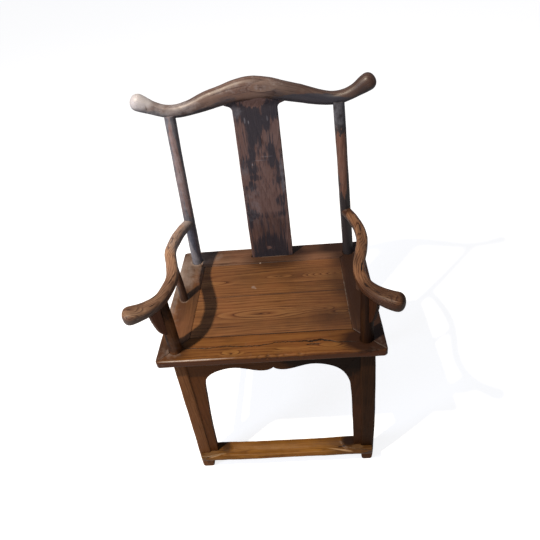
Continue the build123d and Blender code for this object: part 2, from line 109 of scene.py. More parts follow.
studio = dict(
    seat=(0, 0, 0.5),
    lamps={  # place relative to the seat, size, watts, colour
        "window": ((-0.98, -0.89, 2.35), 0.09, 101, "#ffeed6"),
        "side": ((-2.1, -1.1, 1), 0.8, 24, "#d6e2ff"),
    },
    ambient=0.3, ambientColour="#eef2ff", white=(1, 1, 1, 1),
    floorColour="#c6c6c6",
    floorLift=0.8,  # what the camera alone sees, so that the floor is white and keeps its shadow
    floorHalf=12,
)


def buildStudio(look):
    seat = Vector(look["seat"])
    for name, (offset, size, watts, colour) in look["lamps"].items():
        data = bpy.data.lights.new(name, "AREA")
        data.shape = "DISK"
        data.size = size
        data.energy = watts
        data.color = linear(colour)[:3]
        lamp = bpy.data.objects.new(name, data)
        lamp.location = seat + Vector(offset)
        lamp.rotation_euler = (seat - lamp.location).to_track_quat("-Z", "Y").to_euler()
        scene.collection.objects.link(lamp)
    bm = bmesh.new()
    bmesh.ops.create_grid(bm, x_segments=1, y_segments=1, size=look["floorHalf"])
    mesh = bpy.data.meshes.new("floor")
    bm.to_mesh(mesh)
    bm.free()
    floor = bpy.data.objects.new("floor", mesh)
    scene.collection.objects.link(floor)
    material, tree = newMaterial("pale paper floor")
    seen = addNode(tree, "LightPath", {}).outputs["Is Camera Ray"]
    lift = addNode(tree, "Math", "MULTIPLY", seen, look["floorLift"])
    paper = addNode(tree, "BsdfDiffuse", {"Color": linear(look["floorColour"])})
    glow = addNode(tree, "Emission", {"Color": look["white"], "Strength": lift.outputs[0]})
    both = addNode(tree, "AddShader", {}, paper.outputs[0], glow.outputs[0])
    addNode(tree, "OutputMaterial", {"Surface": both.outputs[0]})
    mesh.materials.append(material)
    world = bpy.data.worlds.new("studio")
    scene.world = world
    world.use_nodes = True
    tree = world.node_tree
    tree.nodes.clear()
    seen = addNode(tree, "LightPath", {}).outputs["Is Camera Ray"]
    room = addNode(tree, "Background", {"Color": linear(look["ambientColour"]),
                                        "Strength": look["ambient"]})
    backdrop = addNode(tree, "Background", {"Color": look["white"], "Strength": 1})
    mixed = addNode(tree, "MixShader", {}, seen, room.outputs[0], backdrop.outputs[0])
    addNode(tree, "OutputWorld", {"Surface": mixed.outputs[0]})


buildStudio(studio)
print("camera, lamps and floor placed")


# Places on the chair are given in mm from the middle of the seat's top face

mm = 0.001
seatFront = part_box("seat_front_rail")[0].y
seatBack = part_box("seat_back_rail")[1].y
seatMiddle = Vector((0, (seatFront + seatBack) / 2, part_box("seat_front_rail")[1].z))


def at(x, y, rise):
    return seatMiddle + Vector((x, y, rise)) * mm


def easedShare(value, start, end):
    share = min(max((value - start) / (end - start), 0), 1)
    return share * share * (3 - 2 * share)


# Wood finishes

# Direction of the grain as a turn of the log, in degrees
grainAlong = {"X": (0, 0, 0), "Y": (0, 0, 90), "Z": (0, -90, 0)}

# What every elm finish starts from; a piece's own dictionary changes some of it.
# A patch is its centre (x, y, rise), its radii, an amount and sometimes a turn, in mm and degrees.
elmLook = dict(
    grain="X",
    follows=False,  # the grain follows a carved piece instead of a straight direction
    pith=(0, -66, -60),  # mm, a point on the log's centre line
    tilt=(0, 0, 0),  # turn of the log against the piece, in degrees
    ringGap=5.5,  # mm between growth rings
    wander=1.4,  # rings
    flames=(),  # patches of as many rings, humps that make nested loops
    ringShare=0.85,  # how far the rings change the tone
    flameShare=1,  # and how much further inside the flames
    streakShare=0.5, cloudShare=0.3,
    fissures=0.35,  # open dark lines in the grain
    tones="#2b170b #5f3b20 #875a34 #a47548",  # pore line, early, mid and late wood
    blush="#6a3a22",  # reddish patches
    blushShare=0.35,
    lacquer="#17110f #33221a",  # thick and thin
    cover=0.1,  # how much lacquer is left, 0 to 1
    under=0.15,  # more of it on upright faces, and twice that on faces that look down
    edgeWear=0.35,  # less of it on worn edges
    wearAndHighlightTone=0.08,  # paler wood there; on the foot rail also a painted highlight on its worn lip
    streak=0.35,  # how much it follows the grain
    blotch=0.5, coverHide=0.94,
    edge=0.12,  # how gradual the edge of the lacquer is
    fray=(26, 5),  # mm along and across the grain by which its patches are ragged
    spots=(),  # patches of more or less lacquer
    stains=(),  # of dark stain in the wood
    stain="#29170d",
    dust=(),  # of pale dust, and on some pieces of painted sheen, highlight and glare haze
    dustAndSheenColour="#8d8078",
    gapColour="#0e0805",  # inside cracks and chips
    shine=(),  # of a rubbed, smoother place
    roughWood=0.5, roughLacquer=0.38,
    gloss=0.35,  # specular level
    relief=0.3,  # mm of bump
)

# Shrink along the grain (none: the same all ways), scale, detail and roughness of each noise.
# Streaks and pores are 3 and 1.2 mm wide, coarser than real pores so that they show.
grainNoise = dict(
    slow=(0.12, 24, 2, 0.5), waver=(0.12, 110, 2, 0.5),
    streaks=(0.035, 330, 3, 0.5), pores=(0.035, 800, 2, 0.5),
    bands=(0.035, 75, 3, 0.55), lines=(0.035, 210, 4, 0.55),
    flakes=(0.4, 85, 8, 0.72), ruffle=(0.3, 120, 5, 0.6),
    clouds=(None, 12, 3, 0.5), specks=(None, 60, 6, 0.68),
)
ringStops = ((0, 0), (0.14, 0.42), (0.45, 0.72), (0.86, 1), (0.97, 0.55))  # place in a ring, paleness
toneStops = (0, 0.3, 0.6, 0.95)


def patchField(tree, place, patches, start, soft=True):
    total = start
    for x, y, rise, wide, deep, tall, amount, *turn in patches:
        local = addNode(tree, "Mapping", {
            "vector_type": "TEXTURE", "Vector": place, "Location": at(x, y, rise),
            "Scale": (wide * mm, deep * mm, tall * mm), "Rotation": (0, 0, math.radians(sum(turn))),
        })
        ball = addNode(tree, "TexGradient", {"gradient_type": "SPHERICAL"}, local.outputs[0]).outputs["Fac"]
        if soft:
            ball = addNode(tree, "MapRange", {"interpolation_type": "SMOOTHSTEP", "From Max": 0.6},
                           ball).outputs[0]
        total = addNode(tree, "Math", "MULTIPLY_ADD", ball, amount, total).outputs[0]
    return total


def fillRamp(ramp, stops):
    for position, colour in stops:
        stop = ramp.elements[0] if position == 0 else ramp.elements.new(position)
        stop.color = colour
    ramp.elements.remove(ramp.elements[-1])


def elmMaterial(name, **changes):
    # Elm: strong, ring-porous grain. Each ring is an abrupt dark line of open pores that fades to
    # paler late wood, and old lacquer stays in patches between handled places.
    look = {**elmLook, **changes}
    material, tree = newMaterial(name)

    def add(kind, settings, *inputs, out=0):
        return addNode(tree, kind, settings, *inputs).outputs[out]

    def unsettled(value, noises):
        # each noise moves the value up and down by its share
        for source, share in noises:
            value = add("Math", "MULTIPLY_ADD", add("Math", "SUBTRACT", source, 0.5), share, value)
        return value

    coordinates = addNode(tree, "TexCoord", {})
    place = coordinates.outputs["Object"]
    if look["follows"]:
        source = add("Attribute", {"attribute_name": "grainPlace"}, out="Vector")
        centre, turn = [v * mm for v in look["pith"]], look["tilt"]
    else:
        source, centre = place, at(*look["pith"])
        turn = [a + b for a, b in zip(grainAlong[look["grain"]], look["tilt"])]
    log = add("Mapping", {"vector_type": "TEXTURE", "Vector": source, "Location": centre,
                          "Rotation": [math.radians(v) for v in turn]})
    fields = {}
    for title, (shrink, scale, detail, roughness) in grainNoise.items():
        source = place if shrink is None else add("Mapping", {"Scale": (shrink, 1, 1)}, log)
        noise = {"Vector": source, "Scale": scale, "Detail": detail, "Roughness": roughness}
        fields[title] = add("TexNoise", noise, out="Color" if title == "ruffle" else "Fac")
    slow, waver, streaks, pores, bands, lines, flakes, ruffle, clouds, specks = fields.values()
    wear = add("Attribute", {"attribute_name": "wear"}, out="Fac")
    gap = add("Attribute", {"attribute_name": "gap"}, out="Fac")

    # growth rings round the log's centre line, with slow wander and the flames
    cross = add("VectorMath", "MULTIPLY", log, (0, 1, 1))
    radius = add("VectorMath", "LENGTH", cross, out="Value")
    flame = patchField(tree, place, look["flames"], 0, soft=False)
    figured = add("MapRange", {}, add("Math", "ABSOLUTE", flame), 0, 0.5, 0, 1)
    rings = add("Math", "DIVIDE", radius, look["ringGap"] * mm)
    rings = add("Math", "MULTIPLY_ADD", slow, look["wander"] * 2, rings)
    rings = add("Math", "MULTIPLY_ADD", waver, add("MapRange", {}, figured, 0, 1, 0.6, 0.2), rings)
    phase = add("Math", "FRACT", add("Math", "ADD", rings, flame))
    ringLine = addNode(tree, "ValToRGB", {}, phase)
    fillRamp(ringLine.color_ramp, [(position, (level, level, level, 1)) for position, level in ringStops])
    ringTone = ringLine.outputs["Color"]

    # tone of the wood, from dark pore line to pale late wood
    strength = add("Math", "MULTIPLY_ADD", figured, look["flameShare"],
                   add("MapRange", {}, bands, 0.3, 0.7, 0.25, 1))
    tone = add("Math", "MULTIPLY", add("Math", "SUBTRACT", ringTone, 0.62), strength)
    flamed = add("Math", "MULTIPLY_ADD", figured, 0.12, 0.6)
    tone = add("Math", "MULTIPLY_ADD", tone, look["ringShare"], flamed)
    share = look["streakShare"]
    tone = unsettled(tone, ((streaks, share), (pores, share * 0.7), (bands, share * 0.6),
                            (clouds, look["cloudShare"])))
    tone = add("Math", "MULTIPLY_ADD", wear, look["wearAndHighlightTone"], tone)
    fissure = add("MapRange", {"interpolation_type": "SMOOTHSTEP"}, lines, 0.6, 0.7)
    tone = add("Math", "MULTIPLY_ADD", fissure, -look["fissures"], tone)
    tones = addNode(tree, "ValToRGB", {}, tone)
    fillRamp(tones.color_ramp, zip(toneStops, map(linear, look["tones"].split())))
    blushed = add("MapRange", {}, clouds, 0.4, 0.7, 0, look["blushShare"])
    layers = [(blushed, linear(look["blush"]))]  # share and colour of what lies over the bare wood

    # dark stain in the wood, broken up a little
    if look["stains"]:
        stained = patchField(tree, place, look["stains"], unsettled(0, [(specks, 0.3)]))
        layers.append((add("MapRange", {}, stained, 0, 1), linear(look["stain"])))

    # old lacquer, left in patches that follow the grain
    facing = add("SeparateXYZ", {}, coordinates.outputs["Normal"], out="Z")
    share = look["streak"]
    field = unsettled(look["cover"], ((flakes, look["blotch"]), (bands, share), (streaks, share * 0.8)))
    field = add("Math", "MULTIPLY_ADD", add("Math", "SUBTRACT", 1, facing), look["under"], field)
    field = add("Math", "MULTIPLY_ADD", wear, -look["edgeWear"], field)
    along, across = look["fray"]
    reach = [2 * mm * (along if axis == look["grain"] else across) for axis in "XYZ"]
    frayed = add("VectorMath", "SUBTRACT", ruffle, (0.5, 0.5, 0.5))
    field = patchField(tree, add("VectorMath", "MULTIPLY_ADD", frayed, reach, place), look["spots"], field)
    mask = add("MapRange", {"interpolation_type": "SMOOTHSTEP"}, field,
               0.5 - look["edge"] / 2, 0.5 + look["edge"] / 2, 0, look["coverHide"])
    thick, thin = map(linear, look["lacquer"].split())
    layers.append((mask, add("Mix", {"data_type": "RGBA", 0: streaks, 6: thick, 7: thin}, out=2)))

    # pale dust, and on some pieces painted sheen and glare haze, laid over the wood
    if look["dust"]:
        paleDustAndSheen = patchField(tree, place, look["dust"], add("Math", "MULTIPLY_ADD", specks, 0.9, -0.58))
        layers.append((add("MapRange", {}, paleDustAndSheen, 0, 1), linear(look["dustAndSheenColour"])))
    layers.append((gap, linear(look["gapColour"])))
    colour = tones.outputs["Color"]
    for share, over in layers:
        colour = add("Mix", {"data_type": "RGBA", 0: share, 6: colour, 7: over}, out=2)

    rough = add("MapRange", {}, mask, 0, 1, look["roughWood"] - 0.12, look["roughLacquer"] - 0.12)
    rough = add("Math", "MULTIPLY_ADD", specks, 0.24, rough)
    rough = patchField(tree, place, look["shine"], add("Math", "MULTIPLY_ADD", fissure, 0.15, rough))
    height = add("Math", "MULTIPLY_ADD", ringTone, 0.5, add("Math", "MULTIPLY", streaks, 0.8))
    height = add("Math", "MULTIPLY_ADD", mask, 0.4, height)
    height = add("Math", "MULTIPLY_ADD", fissure, -look["fissures"] * 2, height)
    bump = add("Bump", {"Strength": 1, "Distance": look["relief"] * mm, "Height": height})
    shader = add("BsdfPrincipled", {"IOR": 1.5, "Specular IOR Level": look["gloss"],
                                    "Base Color": colour, "Roughness": rough, "Normal": bump})
    addNode(tree, "OutputMaterial", {"Surface": shader})
    return material


# How the worn pieces are shaped

def curveThrough(rows):
    # a smooth curve through rows of numbers, the first three of which are a place
    reach = [0]
    for a, b in zip(rows, rows[1:]):
        reach.append(reach[-1] + math.dist(a[:3], b[:3]))
    slopes = []
    for i in range(len(rows)):
        a, b = max(i - 1, 0), min(i + 1, len(rows) - 1)
        slopes.append([(q - p) / (reach[b] - reach[a]) for p, q in zip(rows[a], rows[b])])

    def rowAt(distance):
        i = min(max(bisect.bisect_right(reach, distance) - 1, 0), len(rows) - 2)
        span = reach[i + 1] - reach[i]
        t = (distance - reach[i]) / span
        shares = (2 * t**3 - 3 * t**2 + 1, (t**3 - 2 * t**2 + t) * span,
                  3 * t**2 - 2 * t**3, (t**3 - t**2) * span)
        parts = zip(rows[i], slopes[i], rows[i + 1], slopes[i + 1])
        return [sum(share * part for share, part in zip(shares, four)) for four in parts]
    return rowAt, reach[-1]


def endScale(distance, depth, power):
    if distance >= depth:
        return 1
    return (1 - (1 - distance / depth) ** power) ** (1 / power)


def sweepStops(length, step, ends):
    # distances of the rings, closer together where an end is rounded
    round0, round1 = (end["wide"][0] if end else 0 for end in ends)
    near, far = ([depth * (1.004 - math.cos(k * math.pi / 16)) for k in range(8 if depth else 1)]
                 for depth in (round0, round1))
    middle = length - round0 - round1
    count = round(middle / step)
    even = [round0 + middle * k / count for k in range(count + 1)]
    even = even[0 if round0 else 1:len(even) if round1 else -1]
    return near + even + [length - d for d in reversed(far)]


def sweep(shape):
    # rows: x, y, rise, width, height, lean, squareness of the top and of the underside
    rowAt, length = curveThrough(shape["rows"])
    ends = shape.get("ends", (None, None))
    bm = bmesh.new()
    grainPlace = bm.verts.layers.float_vector.new("grainPlace")
    before = None
    for stop in sweepStops(length, shape["step"], ends):
        x, y, rise, width, height, lean, squareTop, squareUnder = rowAt(stop)
        if shape.get("level"):
            across, upward = Vector((1, 0, 0)), Vector((0, 1, 0))
        else:
            tangent = (Vector(rowAt(stop + 0.5)[:3]) - Vector(rowAt(stop - 0.5)[:3])).normalized()
            across = tangent.cross(Vector((0, 0, 1))).normalized()
            across.rotate(Quaternion(tangent, math.radians(-lean)))
            upward = across.cross(tangent)
        for end, distance in zip(ends, (stop, length - stop)):
            if end is not None:
                width *= endScale(distance, *end["wide"])
                height *= endScale(distance, *end["tall"])
        ring = bmesh.ops.create_circle(bm, segments=shape["segments"], radius=1)["verts"]
        for vert in ring:
            cosine, sine = vert.co.x, vert.co.y
            power = 2 / max(squareTop if sine > 0 else squareUnder, 2)
            u = math.copysign(abs(cosine) ** power, cosine) * width / 2
            v = math.copysign(abs(sine) ** power, sine) * height / 2
            vert.co = at(x, y, rise) + (across * u + upward * v) * mm
            vert[grainPlace] = Vector((stop, u, v)) * mm
        edges = list({edge for vert in ring for edge in vert.link_edges})
        if before:
            bmesh.ops.bridge_loops(bm, edges=before + edges)
        before = edges
    bmesh.ops.holes_fill(bm, edges=[edge for edge in bm.edges if edge.is_boundary], sides=0)
    bmesh.ops.recalc_face_normals(bm, faces=bm.faces)
    return bm


def wornCopy(node, voxel=2, smoothing=2):
    # the node's own shape as an even net of faces, its edges a little rounded
    bm = bmesh.new()
    bm.from_mesh(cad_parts[node].data)
    bmesh.ops.remove_doubles(bm, verts=bm.verts, dist=1e-6)
    mesh = bpy.data.meshes.new("rough")
    bm.to_mesh(mesh)
    rough = bpy.data.objects.new("rough", mesh)
    scene.collection.objects.link(rough)
    remesh = rough.modifiers.new("voxels", "REMESH")
    remesh.mode = "VOXEL"
    remesh.voxel_size = voxel * mm
    even = bpy.data.meshes.new_from_object(rough.evaluated_get(bpy.context.evaluated_depsgraph_get()))
    bpy.data.objects.remove(rough)
    bpy.data.meshes.remove(mesh)
    bm.clear()
    bm.from_mesh(even)
    bpy.data.meshes.remove(even)
    for turn in range(smoothing):
        bmesh.ops.smooth_vert(bm, verts=bm.verts, factor=0.5,
                              use_axis_x=True, use_axis_y=True, use_axis_z=True)
    return bm


def roughen(bm, wobbles, seed):
    # wobbles: size and amount in mm, along the surface's normal
    bm.normal_update()
    moves = []
    for vert in bm.verts:
        amount = sum(noise.noise(vert.co / (size * mm) + Vector((seed, 0, seed * 2))) * deep
                     for size, deep in wobbles)
        moves.append(vert.normal * amount * mm)
    for vert, move in zip(bm.verts, moves):
        vert.co += move


def dent(bm, dents):
    # dents: x, y, rise, radius and depth
    bm.normal_update()
    for x, y, rise, radius, depth in dents:
        centre = at(x, y, rise)
        for vert in bm.verts:
            distance = (vert.co - centre).length / (radius * mm)
            if distance < 1:
                vert.co -= vert.normal * depth * mm * (1 - distance * distance) ** 2


wornEdge = dict(roundest=14, sharpest=4, spread=2)  # radii in mm between which an edge shows wear
sharpFrom = math.radians(50)  # edges that stay crisp


def markWear(bm):
    wear = bm.verts.layers.float.new("wear")
    bm.normal_update()
    for vert in bm.verts:
        bend = 0
        for edge in vert.link_edges:
            step = edge.other_vert(vert).co - vert.co
            bend = max(bend, -2 * step.dot(vert.normal) / max(step.length_squared, 1e-12))
        vert[wear] = easedShare(bend * mm, 1 / wornEdge["roundest"], 1 / wornEdge["sharpest"])
    for turn in range(wornEdge["spread"]):
        means = []
        for vert in bm.verts:
            near = [edge.other_vert(vert)[wear] for edge in vert.link_edges]
            means.append((vert[wear] + sum(near)) / (len(near) + 1))
        for vert, mean in zip(bm.verts, means):
            vert[wear] = mean


def showPiece(bm, node, ending, wood, look):
    markWear(bm)
    mesh = bpy.data.meshes.new(node + ending)
    bm.to_mesh(mesh)
    bm.free()
    mesh.shade_smooth()
    mesh.set_sharp_from_angle(angle=sharpFrom)
    piece = bpy.data.objects.new(node + ending, mesh)
    scene.collection.objects.link(piece)
    mesh.materials.append(elmMaterial(wood, **look))
    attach(piece, "root")
    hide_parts(node)


def finish(names, wood, look):
    material = elmMaterial(wood, **look)
    for name in names.split():
        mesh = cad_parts[name].data
        mesh.materials.clear()
        mesh.materials.append(material)


def mirrorRows(rows):
    return [(-row[0], *row[1:]) for row in rows]


# Crest rail, carved from one thick piece

crestRail = dict(
    half=[  # x, y, rise, thickness, height, lean, squareness
        (0, 206, 498.5, 36, 58.5, 6, 2.3), (36, 205.5, 496, 35.5, 54, 6, 2.3),
        (72, 204, 488.5, 35, 47, 5.5, 2.3), (112, 201.5, 479, 34, 43.5, 4.5, 2.3),
        (152, 198, 468.5, 33, 37, 3, 2.3), (190, 194.5, 463, 32, 32, 1.5, 2.2),
        (220, 191.5, 467, 31, 30, 0.5, 2.2), (247, 189.5, 479, 32, 31.5, 0, 2.2),
        (270, 188, 494, 37, 40, 0, 2.2), (293, 186.3, 509, 40, 43, 0, 2.2),
    ],
    leftFlank=(92, 50, 3, 0.35),  # where the left side was left thicker: x, reach, mm, share of it above
    leftDrop=(225, 291, 4),  # mm by which the left end hangs lower, and from where to where
    end=dict(wide=(20, 2), tall=(20, 2.05)),
    segments=44, step=5, wobbles=((55, 0.9), (14, 0.3)),
    dents=[
        (-256, 172, 490, 6, 1.8), (-250, 173, 482, 5, 1.6), (-235, 174, 466, 5, 1.4),
        (-142, 182, 472, 7, 1.5), (-107, 184, 484, 7, 1.2), (-176, 180, 478, 9, 1.3),
        (118, 186, 492, 8, 0.8), (252, 178, 492, 7, 0.9),
    ],
    finish=dict(
        follows=True, pith=(310, -30, 8), tilt=(0, 0, 2), cover=0.12, under=0.3,
        tones="#181112 #382a27 #52433e #695850", blush="#4a2c20", blushShare=0.45,
        lacquer="#20222b #302f37", gloss=0.42, roughWood=0.46, roughLacquer=0.4, relief=0.35,
        # the broad patches over the right half and right tip are painted shade, darker away from the light,
        # together with darker old stain; the small ones on the left tip are dark lines of dents
        stains=[
            (165, 190, 470, 170, 80, 70, 0.5), (60, 190, 470, 60, 80, 26, 0.4),
            (288, 186, 502, 66, 80, 60, 0.55), (-266, 168, 500, 2, 14, 14, 0.45, 40),
            (-254, 170, 489, 1.6, 12, 12, 0.4, 40), (-278, 168, 508, 1.6, 12, 12, 0.35, 35),
            (-142, 176, 476, 3, 8, 10, 1.2, 20),
        ],
        # the three broad patches are a painted highlight along the left flank, the left tip and the top;
        # the thin negative ones leave the dark lines of the dents in it
        dust=[
            (-214, 172, 484, 120, 60, 44, 0.4), (-276, 164, 520, 80, 60, 44, 1.5),
            (-40, 190, 515, 200, 80, 26, 0.15), (-266, 168, 500, 2, 14, 14, -0.4, 40),
            (-254, 170, 489, 1.6, 12, 12, -0.35, 40), (-278, 168, 508, 1.6, 12, 12, -0.35, 35),
        ],
        dustAndSheenColour="#a3a0a4",
        flames=[(22, 190, 505, 40, 30, 14, -1)], flameShare=0.25,
        spots=[
            (142, 188, 462, 92, 40, 26, 0.8), (205, 185, 455, 60, 40, 20, 0.5),
            (96, 188, 466, 48, 40, 20, 0.75), (-190, 186, 444, 90, 40, 15, 0.9),
            (-262, 182, 464, 46, 40, 17, 0.8), (-100, 188, 456, 64, 40, 15, 0.6),
            (5, 188, 474, 50, 40, 30, -0.6),
        ],
        fray=(20, 3), edge=0.3,
    ),
)


def makeCrest(shape):
    rows = mirrorRows(shape["half"][:0:-1]) + shape["half"]
    middle, reach, extra, upper = shape["leftFlank"]
    start, full, drop = shape["leftDrop"]
    fuller = []
    for row in rows:
        share = max(0, 1 - abs(row[0] + middle) / reach)
        rise = row[2] - drop * easedShare(-row[0], start, full) + upper * extra * share
        fuller.append((*row[:2], rise, row[3], row[4] + extra * share, *row[5:], row[6]))
    bm = sweep({**shape, "rows": fuller, "ends": (shape["end"], shape["end"])})
    roughen(bm, shape["wobbles"], 3)
    dent(bm, shape["dents"])
    showPiece(bm, "crest_rail", "_carved", "waxed elm with worn lacquer, crest rail",
              shape["finish"])


makeCrest(crestRail)
print("crest rail carved")


# Armrests

armrest = dict(
    rows=[  # x, y, rise, width, height, lean, squareness of the top and underside
        (220.7, 165.8, 145.6, 27.5, 27.5, 0, 2.3, 2.3), (236, 121, 148.5, 28, 28, 0, 2.4, 2.3),
        (246, 72, 152.5, 28.5, 28, 0, 2.5, 2.3), (247.6, 20, 156.7, 29, 28, 0, 2.5, 2.3),
        (238.5, -34, 160.8, 29, 28, 0, 2.5, 2.3), (228, -84, 164.8, 29, 28, 0, 2.6, 2.3),
        (226, -128, 168.8, 29.5, 28, 0, 2.7, 2.3), (236.5, -170, 172.8, 31, 29, 0, 2.9, 2.3),
        (259, -201, 175, 36, 33.5, 0, 3.2, 2.4), (288, -221.5, 175.5, 42, 37, 0, 3.4, 2.5),
        (311, -231, 176, 44, 37.5, 0, 3.4, 2.6),
    ],
    leftMoves={  # row: mm in x, y and rise by which the left arm differs, and in height
        4: (4, 0, 0, 0), 5: (4.5, 0, 0, 0), 8: (0, 3, 0.6, -2), 9: (0, 6, 1.3, -2.5), 10: (0, 8, 1, -1.5),
    },
    end=dict(wide=(21, 2), tall=(15, 2.5)),
    segments=40, step=4.5, wobbles=((40, 0.9), (11, 0.35)),
    leftDents=[(-226, 120, 160, 9, 1.6), (-222, 100, 158, 8, 1.4), (-240, 92, 163, 6, 0.6)],
    rightDents=[
        (226, 118, 158, 9, 1.5), (222, 30, 162, 10, 1.6), (252, -20, 168, 8, 1.8), (222, 62, 160, 8, 1.2),
        (240, -190, 180, 7, 0.8),
    ],
    finish=dict(
        follows=True, grain="Y", pith=(160, 22, -30), tilt=(0, 3, 4), ringGap=3.8, wander=1.8,
        ringShare=0.75, flameShare=0.9, streakShare=0.85, fissures=1.1, cover=0.02, under=0.6,
        edgeWear=0.1, blushShare=0.25, blush="#6b4029", roughWood=0.48, relief=0.6, fray=(14, 3), gloss=0.3,
    ),
    leftFinish=dict(
        tones="#1d100b #523a2c #7d5f4b #98795f", lacquer="#372a26 #4c3b35", edge=0.5,
        flames=[(-246, 32, 168, 14, 60, 18, -2.6), (-285, -220, 192, 36, 14, 18, -2.2)],
        spots=[
            (-214, 158, 152, 34, 44, 40, 0.75), (-224, 112, 152, 10, 30, 20, 0.45),
            (-240, -150, 150, 40, 50, 18, 0.6),
        ],
        stains=[(-250, -160, 175, 100, 110, 80, 0.45), (-300, -222, 175, 60, 50, 60, 0.4)],
        # these pale patches are a painted haze of glare on the back of the left arm
        stain="#352113", dust=[(-236, 92, 165, 44, 130, 40, 0.44), (-222, 158, 168, 30, 40, 30, 0.4)],
        dustAndSheenColour="#968b88",
    ),
    rightFinish=dict(
        tones="#100705 #3c2619 #664731 #876549", fissures=1.5, lacquer="#28140c #3e2414",
        gloss=0.2, ringShare=0.72, blush="#5a3522",
        flames=[(288, -222, 194, 34, 15, 18, -2.4), (246, 40, 168, 12, 70, 18, -2)],
        stains=[
            (262, -205, 180, 95, 75, 80, 0.72), (224, 160, 160, 24, 36, 30, 0.6),
            (245, 20, 170, 10, 110, 40, 0.5), (312, -232, 176, 22, 40, 40, 0.6),
            (220, -70, 165, 9, 60, 40, 0.5),
        ],
        spots=[
            (214, 160, 152, 26, 34, 40, 0.6), (236, 138, 160, 9, 22, 14, 0.5),
            (268, 40, 150, 14, 90, 20, 0.3), (250, -195, 150, 60, 40, 22, 0.5),
        ],
        dust=[(214, 162, 164, 18, 24, 16, 0.3)],
    ),
)


def makeArm(shape, side, seed):
    rows = shape["rows"]
    if side == "left":
        rows = [list(row) for row in mirrorRows(rows)]
        for number, move in shape["leftMoves"].items():
            for column, amount in zip((0, 1, 2, 4), move):
                rows[number][column] += amount
    bm = sweep({**shape, "rows": rows, "ends": (None, shape["end"])})
    roughen(bm, shape["wobbles"], seed)
    dent(bm, shape[side + "Dents"])
    look = {**shape["finish"], **shape[side + "Finish"]}
    showPiece(bm, side + "_armrest", "_carved", "bare weathered elm, " + side + " arm", look)


makeArm(armrest, "left", 5)
makeArm(armrest, "right", 9)
print("armrests carved")


# Legs and under pieces share this stain
darkStain = dict(blushShare=0.3, blush="#4a2614", edge=0.4, lacquer="#140b08 #25140c", roughLacquer=0.5)

# Posts: each front and rear post is one length with its square leg.
# Rows: x, y, rise, width, depth and squareness, where 2 is round; the right side's, unless named.

frontPost = dict(
    level=True, segments=40, step=7, wobbles=((70, 0.7), (16, 0.22)),
    leftLeg=[
        (-245.2, -191.3, -523, 33, 33, 6.5), (-245.2, -191.2, -519, 36, 36, 6.5),
        (-244.6, -189.2, -470, 36, 36, 6.5), (-240.6, -181.6, -270, 34.4, 36, 6.5),
        (-237.2, -172.2, -34, 32.4, 36, 6.5),
    ],
    rightLeg=[
        (244.8, -191.3, -523, 29, 32, 6.5), (244.8, -191.2, -519, 32, 35, 6.5),
        (245.6, -189.2, -470, 35.5, 36, 6.5), (244.6, -181.6, -270, 39.6, 36, 6.5),
        (240.8, -172.2, -34, 38, 36, 6.5),
    ],
    rows=[
        (239.2, -171.9, -26, 33, 33, 2), (239.2, -171, 0, 33, 33, 2), (238.2, -167.6, 87, 31.6, 31.6, 2),
        (237.2, -164.4, 168, 30, 30, 2),
    ],
    finish=dict(darkStain, gloss=0.05, grain="Z", ringShare=0.35, fissures=0.2, cover=0.12, edgeWear=0.3),
    leftFinish=dict(
        pith=(-300, -240, -200), tones="#1d0f07 #472a15 #644025 #7a5535",
        spots=[
            (-240, -165, 150, 40, 40, 80, 0.4), (-250, -165, 60, 14, 40, 90, 0.35),
            (-226, -168, 20, 12, 40, 90, 0.25),
        ],
        dust=[(-240, -168, 24, 30, 40, 50, 0.22)],
    ),
    # darker tones on the right: partly darker wood, partly painted shade away from the light on the left
    rightFinish=dict(
        pith=(300, -240, -200), tones="#090301 #190d05 #2a180b #382211", blush="#2c1a10",
        dust=[(246, -196, -508, 40, 50, 34, 0.9)], dustAndSheenColour="#5c3519",
        spots=[
            (240, -165, 80, 60, 60, 140, 0.5), (246, -165, 90, 22, 40, 130, 0.4),
            (229, -176, 70, 8, 40, 90, -0.4),
        ],
    ),
)
